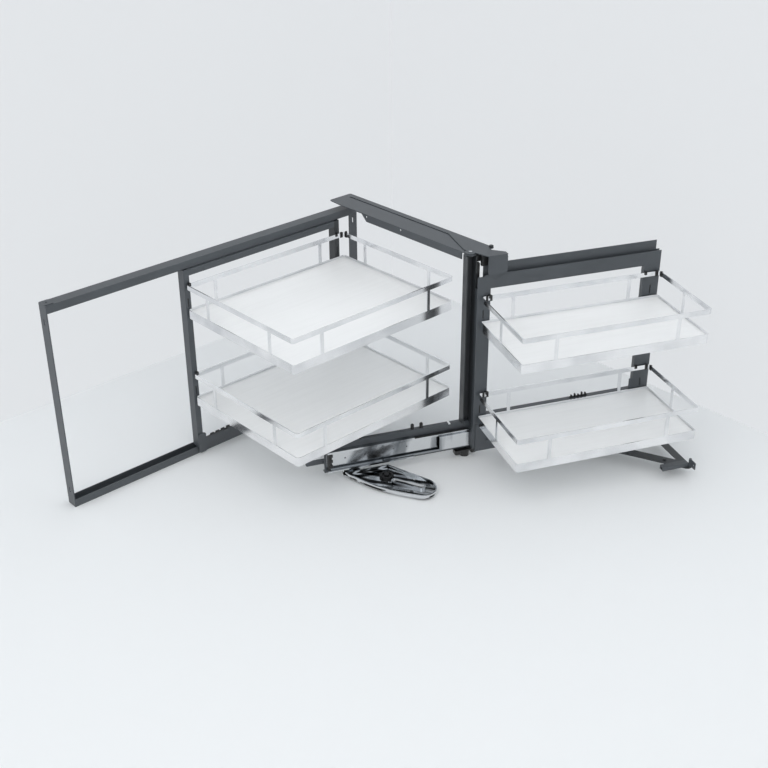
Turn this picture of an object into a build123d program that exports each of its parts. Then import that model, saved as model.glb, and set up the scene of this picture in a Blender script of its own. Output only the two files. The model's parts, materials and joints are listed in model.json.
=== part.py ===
from build123d import *
from math import atan2, cos, degrees, hypot, pi, radians, sin
import os

os.makedirs("parts", exist_ok=True)

# Blind corner pull out: a rear frame screwed into the cabinet, a carriage with two
# trays that runs along it, and a swivelling mast whose slide carries the front
# frame with its own two trays. Shown with the front frame swung out.
# Origin: middle of the floor screw line, on the cabinet floor. +X runs to the right
# along the rear frame, +Y to the back of the cabinet and +Z up.

# Rear frame, fixed in the cabinet
frame_length = 930.0
frame_depth = 31.0
frame_height = 540.0
side_plate = 2.5
rail_sheet = 2.0
top_rail_height = 20.0
bottom_rail_back = 18.0
bottom_rail_front = 20.0
floor_screw_spacing = 800.0
screw_hole_radius = 2.75
wall_slot_length = 16.0
wall_slot_spacing = 452.0
tab_length = 22.0

# Arm along the right wall
arm_lift = 23.0
arm_sheet = 2.5
arm_width = 76.0
arm_overhang = 6.0
arm_flange_height = 20.0
arm_flange_start = 130.0
arm_flange_ramp = 18.0
arm_flange_end_gap = 21.0
arm_front_rise = 17.0
arm_right_rise = 2.0
arm_corner = 5.0
arm_notch_length = 41.0
arm_notch_width = 3.0
guide_groove_width = 5.5
guide_groove_depth = 1.9
guide_groove_inset = 19.0
guide_groove_kick = 46.0
guide_groove_kick_length = 96.0
guide_groove_start = 22.0
guide_groove_end = 28.0
arm_hole_radius = 3.0
arm_hole_first = 148.0
arm_hole_pitch = 128.0
arm_hole_count = 2

# Swivel axis, from the frame's right end and front face, and the angle shown
axis_inset = 62.0
axis_reach = 480.0
open_angle = -24.12

# Pivots on the swivel axis
pivot_radius = 5.0
running_clearance = 0.05
bushing_radius = 8.0
pin_radius = 3.0
pin_head_radius = 4.5
pin_head_height = 1.2
tongue_radius = 15.0
stack_gap = 0.6
bearing_radius = 12.5
foot_radius = 12.0
foot_height = 7.0
foot_stud_height = 9.0
foot_gap = 0.4
boss_radius = 12.0
boss_plate_length = 60.0
boss_plate_width = 22.0
boss_plate_sheet = 4.0
boss_pad_length = 14.0
boss_pad_spacing = 44.0
boss_pad_drop = 8.0

# Mast
mast_width = 25.0
mast_depth = 26.0
mast_sheet = 2.5
mast_top_gap = 3.0
wing_height = 15.0
wing_width = 16.0

# Floor channel that carries the slide
channel_length = 378.0
channel_tail = 20.0
channel_bottom = 20.0
channel_height = 80.0
channel_back = 14.0
channel_flange = 12.0
channel_notch_length = 7.0
channel_notch_depth = 4.0
channel_notch_at = 42.0
peg_radius = 4.5
peg_height = 15.0
peg_point = 3.0
lever_length = 58.0
lever_lap = 12.0
lever_height = 14.0
lever_lift = 22.0
lever_sheet = 3.0
peg_place = 118.0
peg_pitch = 24.0
far_peg_place = 281.0

# Telescopic slide
slide_height = 58.0
slide_lift = 6.0
slide_outer_length = 231.0
slide_outer_end = 142.0
slide_depth = 13.0
slide_sheet = 1.8
slide_lip = 3.0
slide_nest = 0.5
ball_gap = 2.6
slide_middle_length = 231.0
slide_middle_end = 8.0
slide_inner_length = 231.0
slide_inner_end = 156.0
slide_plug_length = 5.5
slide_plug_inset = 3.0
slide_plug_fingers = 3
slide_plug_finger = 7.0
slide_plug_finger_pitch = 15.0
slide_plug_gap = 0.3
slide_hole_radius = 2.0
slide_hole_first = 26.0
slide_hole_pitch = 52.0
slide_hole_count = 4

# Hinge plate with its cover over the front rail, and the slider in the rail
hinge_sheet = 2.5
hinge_hub_radius = 13.0
hinge_back = 20.0
hinge_back_start = 9.0
cover_start = 31.0
cover_length = 50.0
cover_height = 50.0
cover_gap = 10.5
cover_corner = 7.0
cover_top_depth = 12.0
knob_radius = 6.0
knob_place = 59.0
knob_back = 12.0
notch_place = 50.0
notch_back = 2.0
slider_length = 30.0
slider_height = 38.0
slider_gap = 0.5
slider_neck_length = 46.0
slider_neck_lead = 11.0
slider_inset = 14.0

# Curved guide plate at floor level, with its toothed disc
guide_sheet = 3.0
guide_bottom = 6.0
guide_rim_height = 9.0
guide_rim_width = 3.5
guide_length = 207.0
guide_width = 166.0
guide_start = 334.0
guide_setback = 4.0
guide_slot_wide = 13.0
guide_slot_long = 84.0
guide_hole_radius = 3.0
guide_corner_share = (0.04, 0.0)
guide_outer_share = (0.235, 0.41)
guide_outer_end_share = (0.68, 0.93)
guide_nose_share = (0.88, 0.985)
guide_tip_share = (0.99, 0.80)
guide_inner_share = (0.982, 0.68)
guide_inner_end_share = (0.942, 0.58)
guide_heel_share = (0.59, 0.0)
guide_slot_share = (0.69, 0.60)
guide_hole_share = (0.80, 0.48)
guide_disc_share = (0.50, 0.27)
guide_slot_turn = -40.7
mount_length = 46.0
mount_inset = 4.0
mount_sheet = 2.5
disc_radius = 18.0
disc_height = 6.0
disc_gap = 0.4
disc_teeth = 14
disc_tooth_depth = 3.0
disc_tooth_share = 0.5
disc_hub_radius = 7.0
disc_web_share = 0.4
disc_post_radius = 4.0
disc_cap_radius = 6.0
disc_cap_height = 1.6

# Front frame, measured along and across the swung-out slide
front_start = 10.0
front_length = 498.0
front_gap = 1.0
front_depth = 13.0
front_sheet = 2.0
front_left_width = 35.0
front_left_step = 18.0
front_right_width = 45.0
front_bottom = 30.0
front_rail_drop = 88.1
front_rail_front = 36.5
front_rail_back = 61.0
front_rail_short = 10.0
bottom_bar_level = 100.0
bottom_bar_height = 28.0
beam_height = 50.0
beam_end_inset = 28.0
gusset_lead = 7.0
gusset_top_width = 33.0
gusset_foot_width = 76.0
gusset_rise = 70.0
gusset_drop = 8.0
gusset_sheet = 2.5
gusset_hole_radius = 5.0
corner_plate_height = 29.0
corner_plate_width = 10.0

# Door link below the front trays
link_sheet = 3.0
long_arm_width = 28.0
short_arm_width = 20.0
long_arm_spread = 260.0
link_end_inset = 16.0
link_root = 20.5
link_reach = 276.0
link_bracket_length = 72.0
link_bracket_width = 16.0
link_bracket_height = 11.0
link_pin_radius = 4.0
link_pin_height = 2.5
link_pin_back = 40.0
knuckle_radius = 4.0
hinge_pin_radius = 1.5
door_plate_length = 24.0
door_plate_height = 22.0
door_plate_sheet = 2.5
door_screw_radius = 2.75

# Carriage on the rear frame
carriage_inset = 364.0
carriage_length = 498.0
carriage_lead = 5.0
post_width = 16.0
post_depth = 23.5
post_sheet = 1.8
carriage_gap = 0.6
top_bar_height = 16.5
bottom_bar_rise = 20.0
bottom_bar_notch_depth = 5.0
bottom_bar_notch_length = 14.0
bottom_bar_notches = 6
bottom_bar_notch_pitch = 64.0
glide_length = 46.0
glide_gap = 0.4
glide_inset = 24.0
foot_plate_width = 24.0
foot_plate_height = 56.0
foot_plate_sheet = 2.5
foot_plate_lift = 3.0
foot_plate_corner = 7.0
post_slot_length = 24.0
post_slot_width = 3.5
post_slot_rise = 16.0

# Trays: a floor panel in a steel band, with a railing above it
rear_tray_axis_gap = 69.0
rear_tray_gap = 2.0
rear_tray_inset = 3.0
rear_tray_overhang = 15.0
front_tray_depth = 245.0
front_tray_gap = 3.0
front_tray_inset = 9.0
band_height = 23.0
band_sheet = 1.6
band_ledge = 10.0
railing_rise = 66.0
railing_height = 12.0
railing_sheet = 2.5
tray_corner = 7.0
panel_thickness = 15.5
panel_gap = 0.2
stay_width = 9.0
stay_inset = 86.0
hook_width = 6.0
hook_drop = 14.0
hook_return = 6.0
hook_sheet = 2.0
hook_foot_height = 18.0
rear_upper_level = 394.0
rear_lower_level = 149.5
front_upper_level = 372.0
front_lower_level = 105.0

overrun = 5.0

# Places worked out from the sizes above
left = -frame_length / 2
right = frame_length / 2
back = frame_depth / 2
front = -frame_depth / 2
arm_bottom = frame_height + arm_lift
arm_top = arm_bottom + arm_sheet
arm_right = right + arm_overhang
arm_left = arm_right - arm_width
axis_x = right - axis_inset
axis_y = front - axis_reach
rear_tray_depth = axis_reach - rear_tray_axis_gap
rear_tray_levels = (rear_upper_level, rear_lower_level)
front_tray_levels = (front_upper_level, front_lower_level)
swung = Plane(origin=(axis_x, axis_y, 0), x_dir=(cos(radians(open_angle)), sin(radians(open_angle)), 0), z_dir=(0, 0, 1))
hinge_bottom = arm_top + stack_gap
hinge_top = hinge_bottom + hinge_sheet
front_rail_bottom = hinge_bottom - front_rail_drop
mast_top = arm_bottom - mast_top_gap
channel_top = channel_bottom + channel_height
channel_front = channel_back - channel_flange
slide_bottom = channel_bottom + slide_lift
slide_top = slide_bottom + slide_height
front_back_face = -mast_depth / 2 - front_gap
front_face = front_back_face - front_depth
front_end = front_start + front_length
link_apex = front_end - link_end_inset
link_bracket_end = link_apex
long_arm_root = link_apex - long_arm_spread
short_arm_root = link_apex
guide_top = guide_bottom + guide_sheet
carriage_left = left + carriage_inset
carriage_right = carriage_left + carriage_length
carriage_front = front - carriage_lead
carriage_back = carriage_front + post_depth
carriage_bottom = bottom_rail_front + carriage_gap
carriage_top = frame_height - top_rail_height - carriage_gap


def level(height):
    return Plane.XY.offset(height)


def section(base, station):
    # Across a base plane: local x runs to its back, local y up, the normal along it
    return Plane(origin=base.from_local_coords((station, 0, 0)), x_dir=base.y_dir, z_dir=base.x_dir)


def swung_level(height):
    return swung.offset(height)


def swung_section(station):
    return section(swung, station)


def swung_face(depth):
    # Seen from the trays: local x runs along the slide, local y up, the normal forward
    return Plane(origin=swung.from_local_coords((0, depth, 0)), x_dir=swung.x_dir, z_dir=-swung.y_dir)


# ------------------------------------------------------------------ rear frame
def side_post(name, x, height, tab):
    with BuildPart() as post:
        with BuildSketch(Plane.YZ.offset(x)) as outline:
            with Locations((0, height / 2)):
                Rectangle(frame_depth, height)
            for place in (-wall_slot_spacing / 2, wall_slot_spacing / 2):
                with Locations((0, frame_height / 2 + place)):
                    SlotOverall(wall_slot_length, 2 * screw_hole_radius, rotation=90, mode=Mode.SUBTRACT)
        extrude(amount=side_plate)
        if tab:
            with BuildSketch(level(height)):
                with Locations((x + tab * tab_length / 2, 0)):
                    Rectangle(tab_length, frame_depth - 2 * side_plate)
                    Circle(screw_hole_radius, mode=Mode.SUBTRACT)
            extrude(amount=rail_sheet)
    post.part.label = name
    export_step(post.part, f"parts/{name}.step")


side_post("left_post", left, frame_height, 1)
side_post("right_post", right - side_plate, arm_bottom, 0)

rail_run = frame_length - 2 * side_plate
with BuildPart() as top_rail:
    with BuildSketch(Plane.YZ.offset(left + side_plate)):
        with Locations((0, frame_height - top_rail_height / 2)):
            Rectangle(frame_depth, top_rail_height)
        with Locations((0, frame_height - rail_sheet - top_rail_height / 2)):
            Rectangle(frame_depth - 2 * rail_sheet, top_rail_height, mode=Mode.SUBTRACT)
    extrude(amount=rail_run)
top_rail.part.label = "top_rail"
export_step(top_rail.part, "parts/top_rail.step")

with BuildPart() as bottom_rail:
    with BuildSketch(Plane.YZ.offset(left + side_plate)):
        with BuildLine():
            Polyline((front, 0), (back, 0), (back, bottom_rail_back), (back - rail_sheet, bottom_rail_back),
                     (back - rail_sheet, rail_sheet), (front + rail_sheet, rail_sheet),
                     (front + rail_sheet, bottom_rail_front), (front, bottom_rail_front), close=True)
        make_face()
    extrude(amount=rail_run)
    with BuildSketch(level(0)):
        with GridLocations(floor_screw_spacing, frame_depth, 2, 1):
            Circle(screw_hole_radius)
    extrude(amount=rail_sheet, mode=Mode.SUBTRACT)
bottom_rail.part.label = "bottom_rail"
export_step(bottom_rail.part, "parts/bottom_rail.step")

# ------------------------------------------------------------------ arm on the right
arm_front = axis_y + arm_front_rise
groove_x = arm_right - guide_groove_inset
groove_bend = axis_y + guide_groove_end + guide_groove_kick_length
groove_run = back - guide_groove_start - groove_bend
kick_run = hypot(guide_groove_kick, guide_groove_kick_length)
kick_turn = degrees(atan2(guide_groove_kick_length, guide_groove_kick))
with BuildPart() as top_arm:
    with BuildSketch(level(arm_bottom)) as arm_outline:
        with BuildLine():
            Polyline((arm_left + arm_notch_width, back), (arm_right, back), (arm_right, axis_y + arm_right_rise),
                     (axis_x, axis_y - tongue_radius), (arm_left, arm_front),
                     (arm_left, back - arm_notch_length), close=True)
        make_face()
        fillet(arm_outline.vertices().group_by(Axis.Y)[-1], arm_corner)
        fillet(arm_outline.vertices().group_by(Axis.Y)[0], tongue_radius)
        with Locations((axis_x, axis_y)):
            Circle(tongue_radius)
            Circle(bushing_radius + running_clearance, mode=Mode.SUBTRACT)
    extrude(amount=arm_sheet)
    flange_foot = arm_bottom + arm_sheet - arm_flange_height
    with BuildSketch(Plane.YZ.offset(arm_left)) as flange_outline:
        with BuildLine():
            Polyline((back - arm_flange_start, arm_bottom), (back - arm_flange_start - arm_flange_ramp, flange_foot),
                     (axis_y + arm_flange_end_gap, flange_foot), (axis_y + arm_flange_end_gap, arm_bottom), close=True)
        make_face()
        for step in range(arm_hole_count):
            with Locations((back - arm_hole_first - step * arm_hole_pitch, arm_bottom - arm_hole_radius - arm_sheet / 2)):
                Circle(arm_hole_radius, mode=Mode.SUBTRACT)
    extrude(amount=arm_sheet)
    # rolled guide groove along the top, turning in to the mast
    with BuildSketch(level(arm_top)):
        with Locations((groove_x, groove_bend + groove_run / 2)):
            SlotCenterToCenter(groove_run, guide_groove_width, rotation=90)
        with Locations((groove_x - guide_groove_kick / 2, groove_bend - guide_groove_kick_length / 2)):
            SlotCenterToCenter(kick_run, guide_groove_width, rotation=kick_turn)
    extrude(amount=-guide_groove_depth, mode=Mode.SUBTRACT)
top_arm.part.label = "top_arm"
export_step(top_arm.part, "parts/top_arm.step")

with BuildPart() as floor_bearing:
    with BuildSketch(level(0)):
        with Locations((axis_x, axis_y)):
            Circle(foot_radius)
    extrude(amount=foot_height)
    with BuildSketch(level(foot_height)):
        with Locations((axis_x, axis_y)):
            Circle(pivot_radius)
    extrude(amount=foot_stud_height)
floor_bearing.part.label = "floor_bearing"
export_step(floor_bearing.part, "parts/floor_bearing.step")

# ------------------------------------------------------------------ carriage
slot_levels = [base + band_height + post_slot_rise for base in rear_tray_levels]


def carriage_post(name, x):
    with BuildPart() as post:
        with BuildSketch(level(carriage_bottom)):
            with Locations((x, carriage_front + post_depth / 2)):
                Rectangle(post_width, post_depth)
            with Locations((x, carriage_front + post_depth / 2)):
                Rectangle(post_width - 2 * post_sheet, post_depth - 2 * post_sheet, mode=Mode.SUBTRACT)
        extrude(amount=carriage_top - carriage_bottom)
        with BuildSketch(Plane(origin=(0, carriage_front, 0), x_dir=(1, 0, 0), z_dir=(0, -1, 0))):
            for base in slot_levels:
                with Locations((x, base)):
                    SlotOverall(post_slot_length, post_slot_width, rotation=90)
        extrude(amount=-post_sheet, mode=Mode.SUBTRACT)
    post.part.label = name
    export_step(post.part, f"parts/{name}.step")


carriage_post("carriage_left_post", carriage_left + post_width / 2)
carriage_post("carriage_right_post", carriage_right - post_width / 2)

bar_run = carriage_length - 2 * post_width
bar_left = carriage_left + post_width
with BuildPart() as carriage_top_bar:
    with BuildSketch(Plane.YZ.offset(bar_left)):
        with BuildLine():
            Polyline((carriage_front, carriage_top), (carriage_back, carriage_top),
                     (carriage_back, carriage_top - post_sheet), (carriage_front + post_sheet, carriage_top - post_sheet),
                     (carriage_front + post_sheet, carriage_top - top_bar_height + post_sheet),
                     (carriage_back, carriage_top - top_bar_height + post_sheet),
                     (carriage_back, carriage_top - top_bar_height), (carriage_front, carriage_top - top_bar_height), close=True)
        make_face()
    extrude(amount=bar_run)
carriage_top_bar.part.label = "carriage_top_bar"
export_step(carriage_top_bar.part, "parts/carriage_top_bar.step")

with BuildPart() as carriage_bottom_bar:
    with BuildSketch(Plane.YZ.offset(bar_left)):
        with BuildLine():
            Polyline((carriage_front, carriage_bottom), (carriage_back, carriage_bottom),
                     (carriage_back, carriage_bottom + post_sheet), (carriage_front + post_sheet, carriage_bottom + post_sheet),
                     (carriage_front + post_sheet, carriage_bottom + bottom_bar_rise),
                     (carriage_front, carriage_bottom + bottom_bar_rise), close=True)
        make_face()
    extrude(amount=bar_run)
    with BuildSketch(Plane(origin=(bar_left + bar_run / 2, carriage_front, carriage_bottom + bottom_bar_rise),
                           x_dir=(1, 0, 0), z_dir=(0, -1, 0))):
        with GridLocations(bottom_bar_notch_pitch, bottom_bar_notch_depth, bottom_bar_notches, 1):
            Rectangle(bottom_bar_notch_length, 2 * bottom_bar_notch_depth)
    extrude(amount=-post_sheet, mode=Mode.SUBTRACT)
carriage_bottom_bar.part.label = "carriage_bottom_bar"
export_step(carriage_bottom_bar.part, "parts/carriage_bottom_bar.step")

with BuildPart() as carriage_feet:
    with BuildSketch(Plane(origin=(0, carriage_front, 0), x_dir=(1, 0, 0), z_dir=(0, -1, 0))) as feet_outline:
        for x in (carriage_left + foot_plate_width / 2, carriage_right - foot_plate_width / 2):
            with Locations((x, foot_plate_lift + foot_plate_height / 2)):
                RectangleRounded(foot_plate_width, foot_plate_height, foot_plate_corner)
    extrude(amount=foot_plate_sheet)
carriage_feet.part.label = "carriage_feet"
export_step(carriage_feet.part, "parts/carriage_feet.step")

glide_width = frame_depth - 2 * rail_sheet - 2 * glide_gap
glide_centres = (carriage_left + post_width + glide_inset + glide_length / 2,
                 carriage_right - post_width - glide_inset - glide_length / 2)
with BuildPart() as carriage_glides:
    with BuildSketch(level(carriage_top)):
        for x in glide_centres:
            with Locations((x, 0)):
                Rectangle(glide_length, glide_width)
    extrude(amount=frame_height - rail_sheet - glide_gap - carriage_top)
    with BuildSketch(level(carriage_bottom)):
        for x in glide_centres:
            with Locations((x, 0)):
                Rectangle(glide_length, glide_width)
    extrude(amount=-(carriage_bottom - rail_sheet - glide_gap))
carriage_glides.part.label = "carriage_glides"
export_step(carriage_glides.part, "parts/carriage_glides.step")


# ------------------------------------------------------------------ trays
def tray(name, centre, base, width, depth, side_stays):
    # centre: plane at height zero, with its origin at the middle of the tray
    def flat(height):
        return centre.offset(base + height)

    inner_width = width - 2 * band_sheet
    inner_depth = depth - 2 * band_sheet
    with BuildPart() as band:
        with BuildSketch(flat(0)):
            RectangleRounded(width, depth, tray_corner)
            RectangleRounded(inner_width, inner_depth, tray_corner - band_sheet, mode=Mode.SUBTRACT)
        extrude(amount=band_height)
        with BuildSketch(flat(0)):
            RectangleRounded(width - band_sheet, depth - band_sheet, tray_corner - band_sheet / 2)
            Rectangle(inner_width - 2 * band_ledge, inner_depth - 2 * band_ledge, mode=Mode.SUBTRACT)
        extrude(amount=band_sheet)
    band.part.label = name + "_band"
    export_step(band.part, f"parts/{name}_band.step")

    with BuildPart() as panel:
        with BuildSketch(flat(band_sheet)):
            RectangleRounded(inner_width - 2 * panel_gap, inner_depth - 2 * panel_gap, tray_corner - band_sheet - panel_gap)
        extrude(amount=panel_thickness)
    panel.part.label = name + "_panel"
    export_step(panel.part, f"parts/{name}_panel.step")

    railing_top = band_height + railing_rise
    with BuildPart() as railing:
        with BuildSketch(flat(railing_top - railing_height)):
            RectangleRounded(width, depth, tray_corner)
            RectangleRounded(width - 2 * railing_sheet, depth - 2 * railing_sheet, tray_corner - railing_sheet, mode=Mode.SUBTRACT)
        extrude(amount=railing_height)
        with BuildSketch(flat(band_height)):
            with GridLocations(width - 2 * stay_inset, depth - railing_sheet, 2, 2):
                Rectangle(stay_width, railing_sheet)
            with GridLocations(width - railing_sheet, depth - 2 * stay_inset, 2, side_stays):
                Rectangle(railing_sheet, stay_width)
        extrude(amount=railing_rise - railing_height / 2)
    railing.part.label = name + "_railing"
    export_step(railing.part, f"parts/{name}_railing.step")


rear_tray_left = carriage_left + rear_tray_inset
rear_tray_width = carriage_length - rear_tray_inset + rear_tray_overhang
front_tray_width = front_length - front_tray_inset
rear_tray_back = carriage_front - rear_tray_gap
rear_centre = Plane((rear_tray_left + rear_tray_width / 2, rear_tray_back - rear_tray_depth / 2, 0))
front_tray_left = front_start + front_tray_inset
front_tray_back = front_face - front_tray_gap
front_centre = Plane(origin=swung.from_local_coords((front_tray_left + front_tray_width / 2, front_tray_back - front_tray_depth / 2, 0)),
                     x_dir=swung.x_dir, z_dir=swung.z_dir)
tray("rear_upper", rear_centre, rear_upper_level, rear_tray_width, rear_tray_depth, 2)
tray("rear_lower", rear_centre, rear_lower_level, rear_tray_width, rear_tray_depth, 2)
tray("front_upper", front_centre, front_upper_level, front_tray_width, front_tray_depth, 1)
tray("front_lower", front_centre, front_lower_level, front_tray_width, front_tray_depth, 1)


def hooks(name, base_plane, post_face, gap, levels, centres):
    # Each hook stands off its post, goes over the railing and down behind it
    with BuildPart() as clips:
        for x in centres:
            for base in levels:
                top = base + band_height + railing_rise
                outer = post_face - gap
                inner = outer - railing_sheet
                with BuildSketch(section(base_plane, x - hook_width / 2)):
                    with BuildLine():
                        Polyline((post_face, top + hook_sheet), (inner - hook_sheet, top + hook_sheet),
                                 (inner - hook_sheet, top - hook_return), (inner, top - hook_return), (inner, top),
                                 (outer, top), (outer, top - hook_drop), (post_face, top - hook_drop), close=True)
                    make_face()
                    with Locations((post_face - gap / 2, base + hook_foot_height / 2 + band_sheet)):
                        Rectangle(gap, hook_foot_height)
                extrude(amount=hook_width)
    clips.part.label = name
    export_step(clips.part, f"parts/{name}.step")


hooks("rear_hooks", Plane.XY, carriage_front, rear_tray_gap, rear_tray_levels,
      (carriage_left + post_width - hook_width / 2, carriage_right - post_width + hook_width / 2))
hooks("front_hooks", swung, front_face, front_tray_gap, front_tray_levels,
      (front_start + front_left_width - hook_width / 2, front_end - front_right_width + hook_width / 2))

# ------------------------------------------------------------------ mast and pivots
with BuildPart() as mast:
    with BuildSketch(swung_level(channel_top)):
        Rectangle(mast_width, mast_depth)
        with Locations((0, -mast_sheet)):
            Rectangle(mast_width - 2 * mast_sheet, mast_depth, mode=Mode.SUBTRACT)
    extrude(amount=mast_top - channel_top)
mast.part.label = "mast"
export_step(mast.part, "parts/mast.step")

with BuildPart() as top_bearing:
    with BuildSketch(swung_level(mast_top)):
        Circle(bearing_radius)
        with Locations((cover_start / 2, 0)):
            Rectangle(cover_start, wing_width)
    extrude(amount=arm_bottom - stack_gap - mast_top)
    with BuildSketch(swung_level(mast_top)):
        with Locations(((mast_width / 2 + cover_start) / 2, 0)):
            Rectangle(cover_start - mast_width / 2, wing_width)
    extrude(amount=-wing_height)
    with BuildSketch(swung_level(arm_bottom - stack_gap)):
        Circle(bushing_radius)
    extrude(amount=hinge_bottom - arm_bottom + stack_gap)
top_bearing.part.label = "top_bearing"
export_step(top_bearing.part, "parts/top_bearing.step")

cover_face = front_face - cover_gap
cover_end = cover_start + cover_length
with BuildPart() as hinge_plate:
    with BuildSketch(swung_level(hinge_bottom)):
        with BuildLine():
            Polyline((-hinge_back_start, hinge_back), (knob_place, knob_back + knob_radius), (knob_place + knob_radius, knob_back),
                     (notch_place, -notch_back), (cover_end, cover_face + cover_top_depth),
                     (cover_end, cover_face - hinge_sheet), (cover_start, cover_face - hinge_sheet), close=True)
        make_face()
        Circle(hinge_hub_radius)
        with Locations((knob_place, knob_back)):
            Circle(knob_radius)
        Circle(pin_radius + running_clearance, mode=Mode.SUBTRACT)
    extrude(amount=hinge_sheet)
    with BuildSketch(swung_face(cover_face)) as cover_outline:
        with Locations(((cover_start + cover_end) / 2, hinge_top - cover_height / 2)):
            Rectangle(cover_length, cover_height)
        fillet(cover_outline.vertices().group_by(Axis.Z)[0], cover_corner)
    extrude(amount=hinge_sheet)
hinge_plate.part.label = "hinge_plate"
export_step(hinge_plate.part, "parts/hinge_plate.step")

with BuildPart() as top_pivot_pin:
    with BuildSketch(swung_level(hinge_bottom)):
        Circle(pin_radius)
    extrude(amount=hinge_sheet)
    with BuildSketch(swung_level(hinge_top)):
        Circle(pin_head_radius)
    extrude(amount=pin_head_height)
top_pivot_pin.part.label = "top_pivot_pin"
export_step(top_pivot_pin.part, "parts/top_pivot_pin.step")

groove = front_depth - 2 * front_sheet
slider_middle = front_back_face - front_depth / 2
slider_start = cover_start + slider_inset
slider_top = front_rail_bottom + front_rail_back - slider_gap
with BuildPart() as guide_slider:
    with BuildSketch(swung_level(slider_top)):
        with Locations((slider_start + slider_length / 2, slider_middle)):
            Rectangle(slider_length, groove - 2 * slider_gap)
    extrude(amount=-slider_height)
    with BuildSketch(swung_level(slider_top)):
        with Locations((cover_start - slider_neck_lead + slider_neck_length / 2, slider_middle)):
            Rectangle(slider_neck_length, groove - 2 * slider_gap)
    extrude(amount=hinge_bottom - slider_top)
guide_slider.part.label = "guide_slider"
export_step(guide_slider.part, "parts/guide_slider.step")

with BuildPart() as pivot_boss:
    with BuildSketch(swung_level(channel_bottom)):
        Rectangle(boss_plate_length, boss_plate_width)
        Circle(pivot_radius + running_clearance, mode=Mode.SUBTRACT)
    extrude(amount=-boss_plate_sheet)
    with BuildSketch(swung_level(channel_bottom - boss_plate_sheet)):
        Circle(boss_radius)
        Circle(pivot_radius + running_clearance, mode=Mode.SUBTRACT)
    extrude(amount=-(channel_bottom - boss_plate_sheet - foot_height - foot_gap))
    with BuildSketch(swung_level(channel_bottom - boss_plate_sheet)):
        with GridLocations(boss_pad_spacing, boss_plate_width, 2, 1):
            RectangleRounded(boss_pad_length, boss_plate_width, boss_plate_sheet)
    extrude(amount=-boss_pad_drop)
pivot_boss.part.label = "pivot_boss"
export_step(pivot_boss.part, "parts/pivot_boss.step")

# ------------------------------------------------------------------ floor channel and slide
with BuildPart() as floor_channel:
    with BuildSketch(swung_section(-channel_length)):
        with BuildLine():
            Polyline((channel_back, channel_bottom), (channel_front, channel_bottom), (channel_front, channel_top),
                     (channel_back, channel_top), (channel_back, channel_top - mast_sheet),
                     (channel_front + mast_sheet, channel_top - mast_sheet),
                     (channel_front + mast_sheet, channel_bottom + mast_sheet),
                     (channel_back, channel_bottom + mast_sheet), close=True)
        make_face()
    extrude(amount=channel_length + channel_tail)
    with BuildSketch(swung_face(channel_back)):
        with Locations((-channel_notch_at, channel_top - channel_notch_depth / 2)):
            Rectangle(channel_notch_length, channel_notch_depth)
    extrude(amount=channel_flange, mode=Mode.SUBTRACT)
    # lever at the far end, where the linkage to the carriage is pinned
    with BuildSketch(swung_face(channel_back)):
        with Locations((lever_lap - channel_length - lever_length / 2, channel_bottom + lever_lift + lever_height / 2)):
            RectangleRounded(lever_length, lever_height, lever_height / 3)
    extrude(amount=lever_sheet)
    with BuildSketch(swung_face(channel_back)):
        with Locations((lever_lap / 2 - channel_length, channel_bottom + lever_lift + lever_height / 2)):
            Rectangle(lever_lap, lever_height)
    extrude(amount=channel_flange)
floor_channel.part.label = "floor_channel"
export_step(floor_channel.part, "parts/floor_channel.step")

peg_line = (channel_back + channel_front) / 2
with BuildPart() as channel_pegs:
    with BuildSketch(swung_level(channel_top)):
        for place in (peg_place, peg_place + peg_pitch, far_peg_place):
            with Locations((-place, peg_line)):
                Circle(peg_radius)
    extrude(amount=peg_height)
    chamfer(channel_pegs.edges().group_by(Axis.Z)[-1], peg_point)
channel_pegs.part.label = "channel_pegs"
export_step(channel_pegs.part, "parts/channel_pegs.step")


def lipped_channel(back_face, depth, bottom, top):
    # Closed outline of a lipped channel, open to the front
    fore = back_face - depth
    return [(back_face, bottom), (back_face, top), (fore, top), (fore, top - slide_sheet - slide_lip),
            (fore + slide_sheet, top - slide_sheet - slide_lip), (fore + slide_sheet, top - slide_sheet),
            (back_face - slide_sheet, top - slide_sheet), (back_face - slide_sheet, bottom + slide_sheet),
            (fore + slide_sheet, bottom + slide_sheet), (fore + slide_sheet, bottom + slide_sheet + slide_lip),
            (fore, bottom + slide_sheet + slide_lip), (fore, bottom)]


nest = slide_sheet + slide_nest
ball_nest = slide_sheet + ball_gap
slide_middle_height = (slide_bottom + slide_top) / 2
with BuildPart() as slide_outer:
    with BuildSketch(swung_section(-slide_outer_end - slide_outer_length)):
        with BuildLine():
            Polyline(*lipped_channel(channel_front, slide_depth, slide_bottom, slide_top), close=True)
        make_face()
    extrude(amount=slide_outer_length)
    with BuildSketch(swung_face(channel_front - slide_sheet)):
        for step in range(slide_hole_count):
            with Locations((-slide_outer_end - slide_hole_first - step * slide_hole_pitch, slide_middle_height)):
                Circle(slide_hole_radius)
    extrude(amount=-slide_sheet, mode=Mode.SUBTRACT)
slide_outer.part.label = "slide_outer"
export_step(slide_outer.part, "parts/slide_outer.step")

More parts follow.
